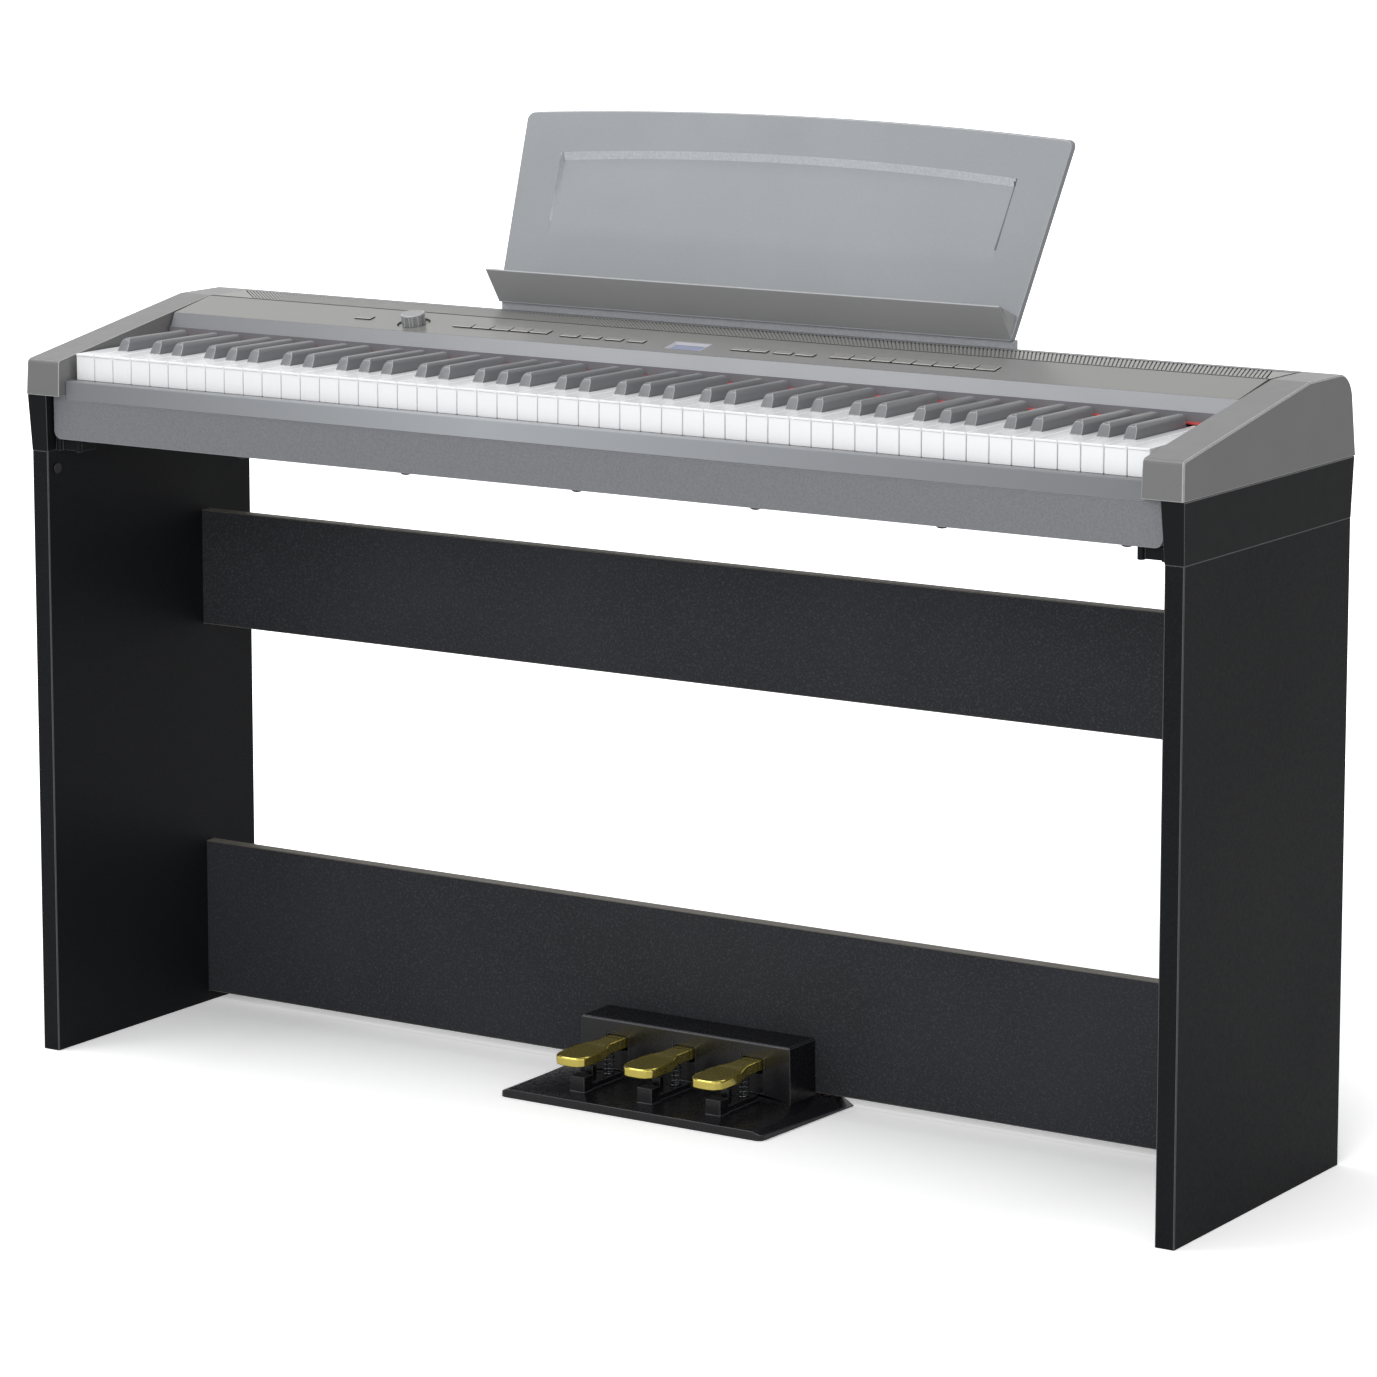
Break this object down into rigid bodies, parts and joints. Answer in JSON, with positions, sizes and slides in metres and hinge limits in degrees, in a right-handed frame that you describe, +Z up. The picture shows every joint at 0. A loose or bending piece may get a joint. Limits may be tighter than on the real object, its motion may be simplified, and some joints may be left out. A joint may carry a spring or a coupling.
{
  "type": "digital piano on stand",
  "caption": "Digital piano with a weighted hammer action, arched music rest, panel stand and a three-pedal unit.",
  "frame": {"origin": "on the floor under the middle of the overall bounding box", "axes": "+X to the player's right along the keyboard, +Y away from the player, +Z up"},
  "size_m": [1.314, 0.42, 0.9625],
  "materials": {
    "white_key": "gloss",
    "black_key": "satin",
    "hammer_steel": "satin",
    "rod_steel": "polished",
    "spring_steel": "polished",
    "pedal_brass": "polished",
    "chassis_plastic": "matte",
    "felt": "matte",
    "case_plastic": "satin",
    "cheek_plastic": "satin",
    "panel_plastic": "satin",
    "grille_plastic": "satin",
    "rest_plastic": "satin",
    "display_glass": "gloss",
    "speaker_metal": "matte",
    "circuit_board": "satin",
    "socket_plastic": "satin",
    "button_plastic": "satin",
    "knob_plastic": "satin",
    "stand_board": "satin",
    "rail_board": "satin",
    "shoulder_plastic": "satin",
    "cap_plastic": "satin",
    "pedal_unit_plastic": "satin"
  },
  "bodies": {
    "frame": {"bolt_caps": "cap_plastic", "bottom_case": "case_plastic", "control_panel": "panel_plastic", "display_window": "display_glass", "fallboard": "panel_plastic", "felt_strips": "felt", "front_apron": "case_plastic", "jack_plate": "socket_plastic", "key_chassis": "chassis_plastic", "left_cheek": "cheek_plastic", "left_shoulder": "shoulder_plastic", "left_side_panel": "stand_board", "lower_rail": "rail_board", "main_board": "circuit_board", "pedal_base": "pedal_unit_plastic", "pedal_housing": "pedal_unit_plastic", "pedal_spring_left": "spring_steel", "pedal_spring_middle": "spring_steel", "pedal_spring_right": "spring_steel", "pivot_rods": "rod_steel", "rear_cover": "case_plastic", "right_cheek": "cheek_plastic", "right_shoulder": "shoulder_plastic", "right_side_panel": "stand_board", "speaker_grille": "grille_plastic", "speakers": "speaker_metal", "upper_rail": "rail_board"},
    "keys_a": {"keys_a": "white_key"},
    "hammers_a": {"hammers_a": "hammer_steel"},
    "keys_a_sharp": {"keys_a_sharp": "black_key"},
    "hammers_a_sharp": {"hammers_a_sharp": "hammer_steel"},
    "keys_b": {"keys_b": "white_key"},
    "hammers_b": {"hammers_b": "hammer_steel"},
    "keys_c": {"keys_c": "white_key"},
    "hammers_c": {"hammers_c": "hammer_steel"},
    "keys_c_sharp": {"keys_c_sharp": "black_key"},
    "hammers_c_sharp": {"hammers_c_sharp": "hammer_steel"},
    "keys_d": {"keys_d": "white_key"},
    "hammers_d": {"hammers_d": "hammer_steel"},
    "keys_d_sharp": {"keys_d_sharp": "black_key"},
    "hammers_d_sharp": {"hammers_d_sharp": "hammer_steel"},
    "keys_e": {"keys_e": "white_key"},
    "hammers_e": {"hammers_e": "hammer_steel"},
    "keys_f": {"keys_f": "white_key"},
    "hammers_f": {"hammers_f": "hammer_steel"},
    "keys_f_sharp": {"keys_f_sharp": "black_key"},
    "hammers_f_sharp": {"hammers_f_sharp": "hammer_steel"},
    "keys_g": {"keys_g": "white_key"},
    "hammers_g": {"hammers_g": "hammer_steel"},
    "keys_g_sharp": {"keys_g_sharp": "black_key"},
    "hammers_g_sharp": {"hammers_g_sharp": "hammer_steel"},
    "power_button": {"power_button": "button_plastic"},
    "small_buttons": {"small_buttons": "button_plastic"},
    "style_buttons": {"style_buttons": "button_plastic"},
    "voice_buttons": {"voice_buttons": "button_plastic"},
    "volume_knob": {"volume_knob": "knob_plastic"},
    "music_rest": {"music_rest": "rest_plastic"},
    "pedal_left": {"pedal_left": "pedal_brass"},
    "pedal_middle": {"pedal_middle": "pedal_brass"},
    "pedal_right": {"pedal_right": "pedal_brass"}
  },
  "joints": [
    {"name": "keys_a_press", "type": "hinge", "parent": "frame", "child": "keys_a", "pos_m": [0, 0.0446, 0.7017], "axis": [1, 0, 0], "range_deg": [0, 2.5]},
    {"name": "hammers_a_swing", "type": "hinge", "parent": "frame", "child": "hammers_a", "pos_m": [0, -0.0534, 0.685], "axis": [1, 0, 0], "range_deg": [0, 9]},
    {"name": "keys_a_sharp_press", "type": "hinge", "parent": "frame", "child": "keys_a_sharp", "pos_m": [0, 0.0446, 0.7017], "axis": [1, 0, 0], "range_deg": [0, 2.5]},
    {"name": "hammers_a_sharp_swing", "type": "hinge", "parent": "frame", "child": "hammers_a_sharp", "pos_m": [0, -0.0534, 0.685], "axis": [1, 0, 0], "range_deg": [0, 9]},
    {"name": "keys_b_press", "type": "hinge", "parent": "frame", "child": "keys_b", "pos_m": [0, 0.0446, 0.7017], "axis": [1, 0, 0], "range_deg": [0, 2.5]},
    {"name": "hammers_b_swing", "type": "hinge", "parent": "frame", "child": "hammers_b", "pos_m": [0, -0.0534, 0.685], "axis": [1, 0, 0], "range_deg": [0, 9]},
    {"name": "keys_c_press", "type": "hinge", "parent": "frame", "child": "keys_c", "pos_m": [0, 0.0446, 0.7017], "axis": [1, 0, 0], "range_deg": [0, 2.5]},
    {"name": "hammers_c_swing", "type": "hinge", "parent": "frame", "child": "hammers_c", "pos_m": [0, -0.0534, 0.685], "axis": [1, 0, 0], "range_deg": [0, 9]},
    {"name": "keys_c_sharp_press", "type": "hinge", "parent": "frame", "child": "keys_c_sharp", "pos_m": [0, 0.0446, 0.7017], "axis": [1, 0, 0], "range_deg": [0, 2.5]},
    {"name": "hammers_c_sharp_swing", "type": "hinge", "parent": "frame", "child": "hammers_c_sharp", "pos_m": [0, -0.0534, 0.685], "axis": [1, 0, 0], "range_deg": [0, 9]},
    {"name": "keys_d_press", "type": "hinge", "parent": "frame", "child": "keys_d", "pos_m": [0, 0.0446, 0.7017], "axis": [1, 0, 0], "range_deg": [0, 2.5]},
    {"name": "hammers_d_swing", "type": "hinge", "parent": "frame", "child": "hammers_d", "pos_m": [0, -0.0534, 0.685], "axis": [1, 0, 0], "range_deg": [0, 9]},
    {"name": "keys_d_sharp_press", "type": "hinge", "parent": "frame", "child": "keys_d_sharp", "pos_m": [0, 0.0446, 0.7017], "axis": [1, 0, 0], "range_deg": [0, 2.5]},
    {"name": "hammers_d_sharp_swing", "type": "hinge", "parent": "frame", "child": "hammers_d_sharp", "pos_m": [0, -0.0534, 0.685], "axis": [1, 0, 0], "range_deg": [0, 9]},
    {"name": "keys_e_press", "type": "hinge", "parent": "frame", "child": "keys_e", "pos_m": [0, 0.0446, 0.7017], "axis": [1, 0, 0], "range_deg": [0, 2.5]},
    {"name": "hammers_e_swing", "type": "hinge", "parent": "frame", "child": "hammers_e", "pos_m": [0, -0.0534, 0.685], "axis": [1, 0, 0], "range_deg": [0, 9]},
    {"name": "keys_f_press", "type": "hinge", "parent": "frame", "child": "keys_f", "pos_m": [0, 0.0446, 0.7017], "axis": [1, 0, 0], "range_deg": [0, 2.5]},
    {"name": "hammers_f_swing", "type": "hinge", "parent": "frame", "child": "hammers_f", "pos_m": [0, -0.0534, 0.685], "axis": [1, 0, 0], "range_deg": [0, 9]},
    {"name": "keys_f_sharp_press", "type": "hinge", "parent": "frame", "child": "keys_f_sharp", "pos_m": [0, 0.0446, 0.7017], "axis": [1, 0, 0], "range_deg": [0, 2.5]},
    {"name": "hammers_f_sharp_swing", "type": "hinge", "parent": "frame", "child": "hammers_f_sharp", "pos_m": [0, -0.0534, 0.685], "axis": [1, 0, 0], "range_deg": [0, 9]},
    {"name": "keys_g_press", "type": "hinge", "parent": "frame", "child": "keys_g", "pos_m": [0, 0.0446, 0.7017], "axis": [1, 0, 0], "range_deg": [0, 2.5]},
    {"name": "hammers_g_swing", "type": "hinge", "parent": "frame", "child": "hammers_g", "pos_m": [0, -0.0534, 0.685], "axis": [1, 0, 0], "range_deg": [0, 9]},
    {"name": "keys_g_sharp_press", "type": "hinge", "parent": "frame", "child": "keys_g_sharp", "pos_m": [0, 0.0446, 0.7017], "axis": [1, 0, 0], "range_deg": [0, 2.5]},
    {"name": "hammers_g_sharp_swing", "type": "hinge", "parent": "frame", "child": "hammers_g_sharp", "pos_m": [0, -0.0534, 0.685], "axis": [1, 0, 0], "range_deg": [0, 9]},
    {"name": "power_button_press", "type": "slide", "parent": "frame", "child": "power_button", "axis": [0, 0.1961, -0.9806], "range_m": [0, 0.0012], "stiffness_N_per_m": 500, "springref_m": -0.0006},
    {"name": "small_buttons_press", "type": "slide", "parent": "frame", "child": "small_buttons", "axis": [0, 0.1961, -0.9806], "range_m": [0, 0.0012], "stiffness_N_per_m": 500, "springref_m": -0.0006},
    {"name": "style_buttons_press", "type": "slide", "parent": "frame", "child": "style_buttons", "axis": [0, 0.1961, -0.9806], "range_m": [0, 0.0012], "stiffness_N_per_m": 500, "springref_m": -0.0006},
    {"name": "voice_buttons_press", "type": "slide", "parent": "frame", "child": "voice_buttons", "axis": [0, 0.1961, -0.9806], "range_m": [0, 0.0012], "stiffness_N_per_m": 500, "springref_m": -0.0006},
    {"name": "volume_knob_turn", "type": "hinge", "parent": "frame", "child": "volume_knob", "pos_m": [-0.328, 0.00359, 0.7532], "axis": [0, -0.1961, 0.9806], "range_deg": [-150, 150]},
    {"name": "music_rest_lift_off", "type": "slide", "parent": "frame", "child": "music_rest", "axis": [0, 0, 1], "range_m": [0, 0.025]},
    {"name": "pedal_left_press", "type": "hinge", "parent": "frame", "child": "pedal_left", "pos_m": [-0.08, 0.033, 0.045], "axis": [1, 0, 0], "range_deg": [0, 5], "stiffness_Nm_per_rad": 6, "springref_deg": -5.73, "deforming": ["pedal_spring_left"]},
    {"name": "pedal_middle_press", "type": "hinge", "parent": "frame", "child": "pedal_middle", "pos_m": [0, 0.033, 0.045], "axis": [1, 0, 0], "range_deg": [0, 5], "stiffness_Nm_per_rad": 6, "springref_deg": -5.73, "deforming": ["pedal_spring_middle"]},
    {"name": "pedal_right_press", "type": "hinge", "parent": "frame", "child": "pedal_right", "pos_m": [0.08, 0.033, 0.045], "axis": [1, 0, 0], "range_deg": [0, 5], "stiffness_Nm_per_rad": 6, "springref_deg": -5.73, "deforming": ["pedal_spring_right"]}
  ],
  "couplings": [
    {"joint": "hammers_a_swing", "follows": "keys_a_press", "ratio": 3.5789},
    {"joint": "hammers_a_sharp_swing", "follows": "keys_a_sharp_press", "ratio": 3.5789},
    {"joint": "hammers_b_swing", "follows": "keys_b_press", "ratio": 3.5789},
    {"joint": "hammers_c_swing", "follows": "keys_c_press", "ratio": 3.5789},
    {"joint": "hammers_c_sharp_swing", "follows": "keys_c_sharp_press", "ratio": 3.5789},
    {"joint": "hammers_d_swing", "follows": "keys_d_press", "ratio": 3.5789},
    {"joint": "hammers_d_sharp_swing", "follows": "keys_d_sharp_press", "ratio": 3.5789},
    {"joint": "hammers_e_swing", "follows": "keys_e_press", "ratio": 3.5789},
    {"joint": "hammers_f_swing", "follows": "keys_f_press", "ratio": 3.5789},
    {"joint": "hammers_f_sharp_swing", "follows": "keys_f_sharp_press", "ratio": 3.5789},
    {"joint": "hammers_g_swing", "follows": "keys_g_press", "ratio": 3.5789},
    {"joint": "hammers_g_sharp_swing", "follows": "keys_g_sharp_press", "ratio": 3.5789}
  ]
}
